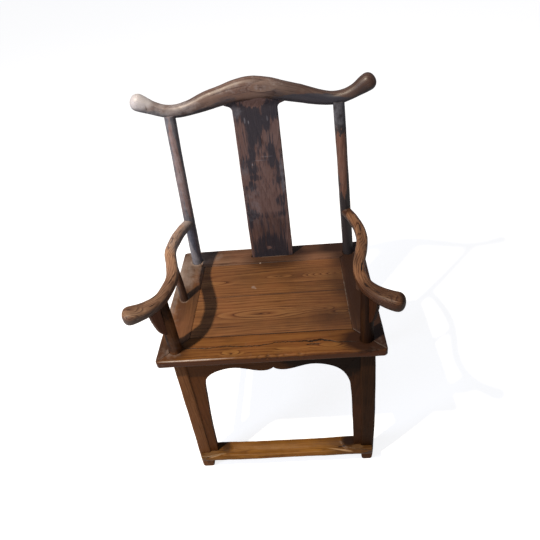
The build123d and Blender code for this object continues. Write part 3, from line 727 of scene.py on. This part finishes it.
rearPost = dict(
    level=True, segments=36, step=7, wobbles=((80, 0.8), (18, 0.25)),
    rows=[
        (231, 186, -523, 33, 33, 6.5), (231, 185.8, -519, 36, 36, 6.5), (228.6, 176.3, -270, 36, 36, 6.5),
        (226.3, 167.3, -34, 36, 36, 6.5), (226.2, 167, -26, 30.4, 30.4, 2), (226, 166, 0, 30.4, 30.4, 2),
        (220, 168.7, 148, 29.5, 29.5, 2), (214, 174.5, 297, 28.5, 28.5, 2),
        (207.4, 184.6, 458, 27.6, 27.6, 2),
    ],
    finish=dict(
        grain="Z", ringShare=0.45, streakShare=0.6, cover=0.62, under=0, edgeWear=0.1, streak=1.2,
        fray=(60, 4), blotch=1.3, edge=0.2, lacquer="#1b1d22 #2b2a2d", blushShare=0.3,
        tones="#170f0d #3b2a23 #584139 #6c544a", roughWood=0.48, roughLacquer=0.4,
    ),
    # the lighter, bluer lacquer and tones and the pale patches here are a painted haze of glare from the
    # light on the left, over the worn lacquer
    leftFinish=dict(
        pith=(-260, 100, 0), lacquer="#3a3d47 #4b4d55", dustAndSheenColour="#9b9aa2",
        tones="#2d2120 #524141 #6d5957 #836c68", edge=0.5,
        spots=[
            (-210, 158, 310, 10, 40, 200, -0.9), (-224, 158, 60, 40, 40, 150, 0.6),
            (-228, 178, -300, 120, 120, 290, -2.2),
        ],
        stains=[(-228, 178, -300, 120, 120, 300, 2.4)], stain="#452a18",
        dust=[
            (-224, 146, 60, 60, 30, 130, 0.5), (-216, 150, 240, 60, 32, 130, 0.3),
            (-210, 162, 400, 60, 32, 150, 0.3),
        ],
    ),
    rightFinish=dict(
        pith=(260, 100, 0),
        spots=[
            (211, 160, 325, 22, 40, 90, -0.85), (216, 158, 250, 11, 40, 60, -0.4),
            (206, 165, 440, 30, 40, 70, 1), (224, 158, 70, 40, 40, 160, 0.6),
            (228, 178, -300, 120, 120, 290, -2.2),
        ],
        stains=[(228, 178, -300, 120, 120, 300, 2.4)], stain="#2f1b0f",
        # the bluish pale patch at the top is a painted sheen
        dust=[(206, 165, 432, 40, 40, 60, 0.27)], dustAndSheenColour="#868995",
    ),
)
sidePost = dict(
    level=True, segments=28, step=6, wobbles=((40, 0.4), (12, 0.15)),
    rows=[
        (242.5, 6.5, -16, 21.2, 21.2, 2), (242.5, 6.5, 0, 21.2, 21.2, 2), (242.5, 6.5, 30, 20.8, 20.8, 2),
        (242.5, 6.5, 85, 18, 18, 2), (242.5, 6.5, 135, 15.6, 15.6, 2), (242.5, 6.5, 152, 15.2, 15.2, 2),
    ],
    finish=dict(
        grain="Z", cover=0.6, under=0, edge=0.5, lacquer="#211816 #30241e", gloss=0.3,
        tones="#1e120c #432d20 #614534 #775847", roughLacquer=0.42,
    ),
)


def makePost(kind, shape, side, seed):
    rows = mirrorRows(shape["rows"]) if side == "left" else shape["rows"]
    rows = [(*row[:5], 0, row[5], row[5]) for row in shape.get(side + "Leg", []) + rows]
    bm = sweep({**shape, "rows": rows})
    roughen(bm, shape["wobbles"], seed)
    node = side + "_" + kind
    showPiece(bm, node, "_worn", "lacquered elm, " + node.replace("_", " "),
              {**shape["finish"], **shape.get(side + "Finish", {})})


for kind, shape, seeds in (("front_post", frontPost, (11, 13)), ("rear_post", rearPost, (17, 19)),
                           ("side_post", sidePost, (23, 29))):
    for side, seed in zip(("left", "right"), seeds):
        makePost(kind, shape, side, seed)
print("posts shaped")


# Splat: one board with most of its black lacquer rubbed off

# Patches of lacquer, and of pale dust and painted glare haze: x, y, rise, half width, half height and
# amount
splatLacquer = [
    (8, 198, 434, 72, 30, 1), (4, 196, 408, 40, 32, 0.9), (-46, 198, 456, 32, 26, 0.9),
    (48, 198, 456, 36, 28, 0.9), (0, 198, 474, 38, 22, -1.2), (-48, 196, 424, 14, 24, 0.3),
    (-12, 194, 385, 19, 40, 0.55), (-16, 192, 350, 10, 44, 0.52), (6, 193, 372, 5, 30, 0.44),
    (-19, 190, 325, 9, 24, 0.55), (36, 190, 340, 22, 26, 0.59), (16, 190, 345, 6, 30, 0.44),
    (34, 187, 308, 24, 26, 0.59), (48, 184, 275, 16, 40, 0.63), (-16, 186, 287, 11, 24, 0.59),
    (-42, 187, 300, 18, 42, 0.55), (-30, 186, 276, 8, 40, 0.37), (-16, 183, 262, 20, 12, 0.55),
    (-34, 181, 238, 22, 20, 0.63), (-50, 182, 225, 11, 36, 0.44), (50, 182, 246, 16, 24, 0.44),
    (54, 180, 215, 12, 30, 0.41), (44, 178, 190, 20, 26, 0.63), (46, 176, 156, 12, 22, 0.37),
    (-46, 176, 185, 16, 26, 0.41), (-38, 175, 150, 22, 26, 0.63), (-46, 173, 122, 12, 26, 0.52),
    (8, 173, 146, 56, 16, 0.33), (2, 169, 34, 66, 66, 0.74), (0, 168, 0, 90, 26, 0.44),
    (-5, 169, 32, 9, 9, -1.6), (57, 170, 50, 14, 50, -0.5),
]
# the small dashes and thin lines are dust and scratches; the broader patches on the head and the edges are
# painted haze of glare
splatDustAndHaze = [
    (-27, 192, 422, 3, 12, 0.5), (-18, 192, 417, 2.5, 7, 0.5), (30, 194, 424, 3, 12, 0.4),
    (-36, 178, 180, 34, 90, 0.22), (-44, 187, 285, 14, 40, 0.25), (54, 182, 235, 8, 30, 0.4),
    (54, 187, 285, 9, 40, 0.4), (-50, 198, 445, 24, 26, 0.4), (-22, 187, 301, 2.5, 5, 0.6),
    (0, 188, 312, 30, 2.5, 0.3), (18, 188, 322, 26, 2.5, 0.3),
]


def throughBoard(patches, depth=40):
    return [(*patch[:4], depth, *patch[4:]) for patch in patches]


splat = dict(
    wobbles=((60, 0.7), (15, 0.2)),
    shift=2,  # mm to the right, as it was fitted
    finish=dict(
        grain="Z", pith=(25, 290, 0), tilt=(0, 1.2, 0), ringShare=0.4, streakShare=0.5,
        tones="#1d1414 #3f2f2e #584746 #6c5a59", blush="#4f352d", blushShare=0.4,
        cover=0.2, under=0, edgeWear=0.1, streak=2.9, blotch=0.5, edge=0.75, coverHide=0.88,
        lacquer="#191c26 #262831", gloss=0.25, roughLacquer=0.45, relief=0.35, fray=(9, 3),
        spots=throughBoard(splatLacquer),
        stains=[(8, 172, 110, 70, 60, 60, 0.35)],
        dust=throughBoard(splatDustAndHaze),
        dustAndSheenColour="#74747e",
    ),
    longer=(452, 468, 20),  # rise from and to which the head is drawn out into the crest, and mm
    flare=(446, 17),  # rise where the head widens, and its radius
    solidFlare=(458, 10),  # the same on the solid
    flareFrom=(30, 56),  # mm from the middle where the widening starts and is full
    head=(450, 490, 9.5),  # rise from and to which its front comes forward into the crest, and mm
)


def flareAt(rise, start, radius):
    reach = min(max(rise - start, 0), radius)
    return radius - math.sqrt(radius * radius - reach * reach)


def makeSplat(shape):
    bm = wornCopy("back_splat")
    low, high, longer = shape["longer"]
    start, full, forward = shape["head"]
    for vert in bm.verts:
        x, y, rise = (vert.co - seatMiddle) / mm
        wider = -flareAt(rise, *shape["solidFlare"])
        drawn = longer * easedShare(rise, low, high)
        rise += drawn
        wider = max(wider + flareAt(rise, *shape["flare"]), 0) * easedShare(abs(x), *shape["flareFrom"])
        vert.co += Vector((math.copysign(wider, x) + shape["shift"], 0, drawn)) * mm
        if vert.normal.y < 0:
            vert.co.y -= forward * easedShare(rise, start, full) * mm
    roughen(bm, shape["wobbles"], 31)
    showPiece(bm, "back_splat", "_worn", "elm with black lacquer in patches, splat",
              shape["finish"])


makeSplat(splat)
print("splat made")


# Seat frame and boards

# dark stain in the seat; the broad patches over its right half and right rail are painted shade, darker
# away from the light on the left; the thin ones are dark joints
seatStainsAndShade = [
    (10, 158, 0, 125, 60, 60, 0.7), (-240, 205, 0, 110, 70, 60, 0.5), (245, 190, 0, 120, 140, 60, 0.65),
    (270, 20, 0, 80, 260, 60, 0.7), (236, -178, 0, 80, 50, 60, 0.85), (-258, -178, 0, 70, 60, 60, 0.6),
    (120, 195, 0, 170, 40, 60, 0.7), (-120, 205, 0, 160, 26, 60, 0.3), (215, 60, 0, 70, 150, 60, 0.4),
    (170, -30, 0, 170, 140, 60, 0.2), (200, -130, 0, 140, 100, 60, 0.25), (0, 90, 0, 260, 60, 60, 0.22),
    (0, -90, 0, 260, 60, 60, 0.2), (0, 4.5, 0, 280, 2.3, 20, 0.8), (0, -138, 0, 250, 2.3, 20, 0.8),
    (0, 138, 0, 240, 2.3, 20, 0.7), (258, -190, 0, 60, 46, 60, 0.5), (-245, -40, 0, 20, 60, 60, 0.35),
    (205, -60, 0, 120, 160, 60, 0.2),
]
# pale dust on the seat; the first three broad patches at the back left are painted glare haze, and the long
# thin one along the front left edge is a painted highlight
seatDustAndSheen = [
    (-240, 140, 0, 60, 140, 30, 0.3), (-262, 120, 0, 36, 90, 30, 0.2), (-190, 180, 0, 60, 40, 30, 0.3),
    (-226, 164, 0, 26, 26, 20, 0.6), (226, 164, 0, 25, 25, 20, 0.25), (-239, -172, 0, 26, 26, 20, 0.3),
    (239, -172, 0, 24, 24, 20, 0.15), (-242, 6, 0, 19, 19, 20, 0.4), (-51, 36, 0, 9, 8, 10, 0.5),
    (-45, 31, 0, 4, 4, 10, 0.5), (-35, 138, 0, 4, 4, 10, 0.8), (-262, -190, 0, 40, 40, 30, 0.2),
    (-275, 40, 0, 22, 160, 20, 0.4), (203, -5, 0, 2, 170, 20, 0.38, 1.6),
    (-180, -208.5, -1.5, 124, 2.6, 5, 0.95), (3, 165.5, 0, 64, 2.4, 8, 0.5),
    (268, -188, 0, 34, 26, 20, 0.16), (-252, 60, 0, 40, 60, 20, 0.12), (-264, -70, 0, 34, 70, 20, 0.14),
]
seatLook = dict(
    stains=seatStainsAndShade, dust=seatDustAndSheen, cover=-0.05, under=0.72, edgeWear=0.1, blushShare=0.3,
    lacquer="#2a150a #43250f", gloss=0.25, streakShare=0.42, fissures=0.3,
    tones="#1e0e05 #472a13 #654224 #7d5834", roughWood=0.52, ringShare=0.66, cloudShare=0.42,
    wearAndHighlightTone=0,
)
boardFront = dict(
    pith=(0, -66, -75), tilt=(0, 0.6, 0.4),
    flames=[
        (-14, -67, 0, 132, 24, 60, -2.3), (80, -62, 0, 52, 11, 60, -1.3), (134, -61, 0, 46, 11, 60, -1.6),
        (186, -76, 0, 40, 12, 60, -1.2),
    ],
)
boardBack = dict(
    pith=(0, 72, -70), tilt=(0, -0.5, -0.3),
    flames=[(232, 73, 0, 146, 20, 60, -7.5), (-190, 61, 0, 95, 15, 60, -1.8), (20, 75, 0, 44, 7, 60, -1.2)],
)
finish("seat_board_front", "waxed elm, front seat board", {**seatLook, **boardFront})
finish("seat_board_back", "waxed elm, back seat board", {**seatLook, **boardBack})

frontRail = dict(
    crack=[  # x, y, half width and depth of the long crack
        (-225, -171, 0, 0), (-208, -171, 1.2, 1.2), (-159, -175, 1.3, 1.6), (-111, -170.5, 1.4, 1.8),
        (-87, -174, 1.6, 2), (-31, -175, 1.8, 2.2), (0, -171, 1.2, 1.6), (13.5, -167, 1.2, 1.6),
        (60, -168, 1.6, 2.2), (89, -168, 2.2, 3), (100, -171, 3.6, 4), (115, -168, 3.2, 4),
        (127, -166, 3.4, 4), (140, -170, 2.8, 3.2), (150, -172, 1.8, 2.4), (166, -178, 1.5, 2),
        (190, -178, 1.3, 1.6), (221, -182, 0, 0),
    ],
    second=[(84, -181, 0, 0), (96, -180, 1.8, 1.6), (116, -179, 2, 1.8), (128, -180, 0, 0)],
    chips=[  # x and how far the front edge is chipped there
        (-290, 0.1), (-60, 0.1), (-40, 0.5), (-25, 1), (40, 0.9), (80, 0.6), (100, 0.25), (200, 0.3),
        (228, 0.9), (262, 0.9), (275, 0.3), (290, 0.3),
    ],
    skin=1.5,  # mm below the top face in which cracks open
    crackReach=5,  # mm beside a crack where the faces are made finer
    jitter=((7, 1.1), (2.2, 0.4)),  # size and amount in mm of a crack's wandering
    chipReach=(16, 12),  # mm from the corner that chips take in, and where they are full
    chipMove=(0, 0.6, -0.8), chipSize=3.4,
    chipDark=(0.22, 0.55),  # darkness for each mm, and at most
    knot=(-97, -196, 0, 8, 1),
    knotDark=0.7,
    wobbles=((70, 0.7), (14, 0.18)),
    finish=dict(
        pith=(0, -140, -70), tilt=(0, 0.5, 0.2), tones="#190b04 #432610 #5f3c1b #734f28", gloss=0.12,
        lacquer="#33180a #4a270f",
        flames=[
            (-97, -196, 0, 34, 11, 30, -1.6), (60, -192, 0, 60, 9, 30, -1.2),
            (150, -190, 0, 50, 14, 30, -1.6),
        ],
        shine=[(-180, -210, 0, 130, 14, 14, -0.3)],
    ),
)


def tableAt(table, x, column=1):
    for a, b in zip(table, table[1:]):
        if a[0] <= x <= b[0]:
            return a[column] + (b[column] - a[column]) * (x - a[0]) / (b[0] - a[0])
    return 0


def openCrack(bm, gap, table, look):
    def placeOf(vert):
        x, y, rise = (vert.co - seatMiddle) / mm
        return x, y, table[0][0] < x < table[-1][0] and rise > -look["skin"]

    near = []
    for edge in bm.edges:
        places = [placeOf(vert) for vert in edge.verts]
        if all(inside and abs(y - tableAt(table, x)) < look["crackReach"] for x, y, inside in places):
            near.append(edge)
    bmesh.ops.subdivide_edges(bm, edges=near, cuts=2, use_grid_fill=True)
    for vert in bm.verts:
        x, y, inside = placeOf(vert)
        half = tableAt(table, x, 2) * (1 + 0.5 * noise.noise(Vector((x / 5, y / 5, 2))))
        if not inside or half <= 0:
            continue
        jitter = sum(noise.noise(Vector((x / size, 0, seed))) * amount
                     for (size, amount), seed in zip(look["jitter"], (4, 9)))
        distance = abs(y - tableAt(table, x) - jitter)
        if distance < half:
            vert.co.z -= tableAt(table, x, 3) * mm * (1 - (distance / half) ** 2)
        vert[gap] = max(vert[gap], easedShare(half * 1.25 - distance, 0, half * 0.9))


def chipEdge(bm, gap, look):
    reach, full = look["chipReach"]
    share, most = look["chipDark"]
    for vert in bm.verts:
        inward = reach - (vert.co.y - seatFront + seatMiddle.z - vert.co.z) / mm
        if inward >= 0:
            lump = noise.noise(vert.co / (13 * mm)) + 0.4 * noise.noise(vert.co / (5 * mm)) + 0.1
            push = tableAt(look["chips"], vert.co.x / mm) * max(lump, 0) * look["chipSize"]
            push *= easedShare(inward, 0, full)
            vert.co += Vector(look["chipMove"]) * push * mm
            vert[gap] = max(vert[gap], min(most, push * share))


def makeFrontRail(shape):
    bm = wornCopy("seat_front_rail")
    gap = bm.verts.layers.float.new("gap")
    roughen(bm, shape["wobbles"], 37)
    openCrack(bm, gap, shape["crack"], shape)
    openCrack(bm, gap, shape["second"], shape)
    chipEdge(bm, gap, shape)
    dent(bm, [shape["knot"]])
    x, y, rise, radius, depth = shape["knot"]
    for vert in bm.verts:
        near = (vert.co - at(x, y, rise)).length / (radius * 0.5 * mm)
        vert[gap] = max(vert[gap], shape["knotDark"] * easedShare(1 - near, 0, 1))
    showPiece(bm, "seat_front_rail", "_worn", "waxed elm, front seat rail",
              {**seatLook, **shape["finish"]})


makeFrontRail(frontRail)

otherRails = dict(
    look=seatLook, slot="seat_elm", wood="waxed elm, ", firstSeed=41, wobbles=((70, 0.7), (14, 0.2)),
    pieces={  # voxel in mm, rounds of smoothing, changes to the finish
        "seat_back_rail": (1.6, 2, dict(
            pith=(0, 170, -80), tones="#1b0f0a #452f22 #614633 #765a45")),
        "seat_left_rail": (1.6, 2, dict(
            grain="Y", pith=(-240, 0, -70), cloudShare=0.9, ringShare=0.4,
            tones="#170a04 #36210f #4e331d #61442a")),
        # darker tones on the right rail: painted shade away from the light on the left
        "seat_right_rail": (1.6, 2, dict(
            grain="Y", pith=(240, 0, -70), cloudShare=0.7, tones="#0c0603 #26160b #3a2414 #49311f")),
    },
)


def makeWornPieces(group):
    for seed, (node, (voxel, smoothing, changes)) in enumerate(group["pieces"].items(), group["firstSeed"]):
        bm = wornCopy(node, voxel, smoothing)
        for vert in bm.verts if node == group.get("opened") else ():
            wider = tableAt(group["openedMore"], (seatMiddle.z - vert.co.z) / mm)
            wider *= 1 - easedShare(abs(vert.co.x) / mm, *group["openedFrom"])
            vert.co.x += math.copysign(wider, vert.co.x) * mm
        roughen(bm, group["wobbles"], seed)
        showPiece(bm, node, "_worn", group["wood"] + node.replace("_", " "),
                  {**group["look"], **changes})


makeWornPieces(otherRails)
print("seat frame worn")


# Apron, strips, brackets and stretchers

underLook = dict(
    darkStain, gloss=0.06, pith=(0, -260, -60), ringShare=0.3, fissures=0.15, cover=0.2, under=0.1,
    tones="#160a04 #341b09 #4a2a10 #5b3619", edgeWear=0, wearAndHighlightTone=0,
)
# darker lacquer, and more of it on the apron's right part: darker stain, and painted shade away from the
# light on the left
frontDarkAndShade = dict(spots=[(130, -170, -50, 150, 60, 60, 0.7), (185, -180, -75, 60, 60, 70, 0.7)],
                 lacquer="#0d0603 #1b0e06")
underPieces = dict(
    look=underLook, slot="under_elm", wood="stained elm, ", firstSeed=51, wobbles=((60, 0.6), (14, 0.15)),
    pieces={
        # darker tones on the right strip: partly darker stain, partly painted shade away from the light
        "right_front_strip": (1.2, 0, dict(
            frontDarkAndShade, grain="Z", pith=(230, -240, 0), tones="#0c0502 #1f0f06 #2f1a0b #3e2412")),
        "left_arm_bracket": (1.6, 2, dict(
            grain="Z", pith=(-250, -240, 0), cover=0.05, tones="#1d0f09 #3f271b #5c3e30 #714f3e")),
        # darker tones on the right bracket: partly darker stain, partly painted shade away from the light
        "right_arm_bracket": (1.6, 2, dict(
            grain="Z", pith=(250, -240, 0), cover=0.3, streakShare=1, fissures=1,
            tones="#080302 #190d07 #2a180e #3a2417")),
        "back_apron": (2, 2, dict(pith=(0, 260, -60))),
        **{side + kind: (2, 2, dict(grain="Y", pith=(x, 0, rise)))
           for kind, rise in (("_side_apron", -60), ("_side_stretcher", -330))
           for side, x in (("left", -290), ("right", 290))},
        "rear_stretcher": (2, 2, dict(pith=(0, 240, -290))),
    },
    opened="right_front_strip",  # its opening was cut wider: drop below the seat and mm
    openedMore=[(102, 0), (122, 3), (140, 6), (160, 7.5), (224, 7), (300, 4), (457, 1)],
    openedFrom=(190, 222),  # mm from the middle where that is full and where it ends
)
makeWornPieces(underPieces)
finish("front_apron", "stained elm, front apron", {**underLook, **frontDarkAndShade})
finish("left_front_strip", "stained elm, left front strip",
       dict(underLook, grain="Z", pith=(-230, -240, 0), cover=0.1))
print("apron, strips, brackets and stretchers worn")


# Foot rail, its front edge worn round by feet except at the ends

footRail = dict(
    worn=(168, 78, 8, 8),  # x where the wear starts at the back, more at the front, fading depth, lip
    scallop=(17, 10),  # size and amount of the uneven boundary, in mm
    unworn=(170, 3, 0.4),  # x from which the unworn top is dark, its skin in mm, how dark
    roundness=19,
    dip=(6.5, 200),  # mm by which the top is worn down in the middle, and half the length of that
    hollow=(4.2, 44, 30),  # mm, and where from the front edge it ends and how gradually
    leftEnd=(235, 262, 4),  # x from and to which the left end is shorter, and mm
    wobbles=((60, 0.8), (16, 0.3)),
    dents=[
        (-50, -222, -452, 5, 0.9), (-128, -222, -452, 5, 0.8), (93, -222, -455, 5, 1),
        (2, -222, -450, 9, 0.8),
    ],
    finish=dict(
        pith=(0, -250, -520), cover=0.03, under=0.3, edgeWear=0.15, blushShare=0.3,
        tones="#200e04 #4d2c0c #6d4718 #845b25", blush="#6a3d18", roughWood=0.44, gloss=0.18,
        # the strong paler tone on worn edges paints a highlight along the lip, with paler worn wood
        lacquer="#2c170b #432711", ringShare=0.35, flameShare=0.5, cloudShare=0.8, wearAndHighlightTone=0.3,
        spots=[(-245, -200, -450, 60, 60, 40, 0.1), (245, -200, -450, 50, 60, 40, 0.3)],
        stains=[
            (200, -190, -450, 110, 60, 60, 0.5), (-215, -175, -450, 50, 30, 30, 0.5),
            (-255, -200, -460, 50, 60, 50, 0.3), (-178, -191, -446, 18, 26, 20, 0.5),
            (193, -189, -446, 28, 22, 20, 0.6), (164, -205, -448, 10, 3, 6, 0.8),
            (176, -204, -448, 8, 3, 6, 0.8),
        ],
        # pale dust on the unworn ends, and painted highlight lines along the worn lip at each end
        dust=[
            (-226, -208, -445, 30, 13, 12, 0.4), (-215, -217, -448, 44, 3, 8, 1.3, 12),
            (215, -210, -445, 28, 11, 12, 0.4), (180, -217, -450, 76, 3.4, 8, 1, -11),
        ],
        dustAndSheenColour="#9a7a57",
        flames=[(-60, -200, -448, 110, 12, 20, -1.4), (90, -205, -448, 90, 11, 20, -1.4)],
    ),
)


def makeFootRail(shape):
    bm = wornCopy("foot_rail")
    low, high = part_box("foot_rail")
    gap = bm.verts.layers.float.new("gap")
    size, amount = shape["scallop"]
    start, more, fading, lip = shape["worn"]
    darkFrom, skin, dark = shape["unworn"]
    deepest, halfLength = shape["dip"]
    hollow, hollowEnd, hollowFade = shape["hollow"]
    radius = shape["roundness"] * mm
    for vert in bm.verts:
        x, back = abs(vert.co.x) / mm, vert.co.y - low.y
        edge = start + more * math.exp(-back / mm / fading) + noise.noise(vert.co / (size * mm)) * amount
        share = easedShare(edge - x, 0, lip)
        if x > darkFrom and vert.co.z > high.z - skin * mm:
            vert[gap] = dark * (1 - share)
        ridge = high.z - deepest * mm * max(0, 1 - (x / halfLength) ** 2)
        if ridge - vert.co.z < skin * mm:
            vert.co.z -= hollow * mm * share * easedShare(hollowEnd - back / mm, 0, hollowFade)
        if back < radius and ridge - vert.co.z < radius:
            corner = Vector((vert.co.x, low.y + radius, ridge - radius))
            outward = vert.co - corner
            if outward.length > radius:
                vert.co = vert.co.lerp(corner + outward.normalized() * radius, share)
    start, end, shorter = shape["leftEnd"]
    for vert in bm.verts:
        vert.co.x += shorter * mm * easedShare(-vert.co.x / mm, start, end)
    roughen(bm, shape["wobbles"], 71)
    dent(bm, shape["dents"])
    showPiece(bm, "foot_rail", "_worn", "golden worn elm, foot rail", shape["finish"])


makeFootRail(footRail)
print("foot rail worn")

bareLook = dict(grain="Y", pith=(0, 0, 60), cover=0, roughWood=0.7,
                tones="#2a1a10 #5d432e #816348 #99795b")
pegLook = dict(grain="Y", pith=(0, 0, -500), roughWood=0.6, tones="#24150c #4f3420 #6e4d33 #876347")
finish("left_seat_batten right_seat_batten", "unfinished elm, battens", bareLook)
finish("joint_pegs", "unfinished elm, pegs", pegLook)
print("hidden pieces finished")
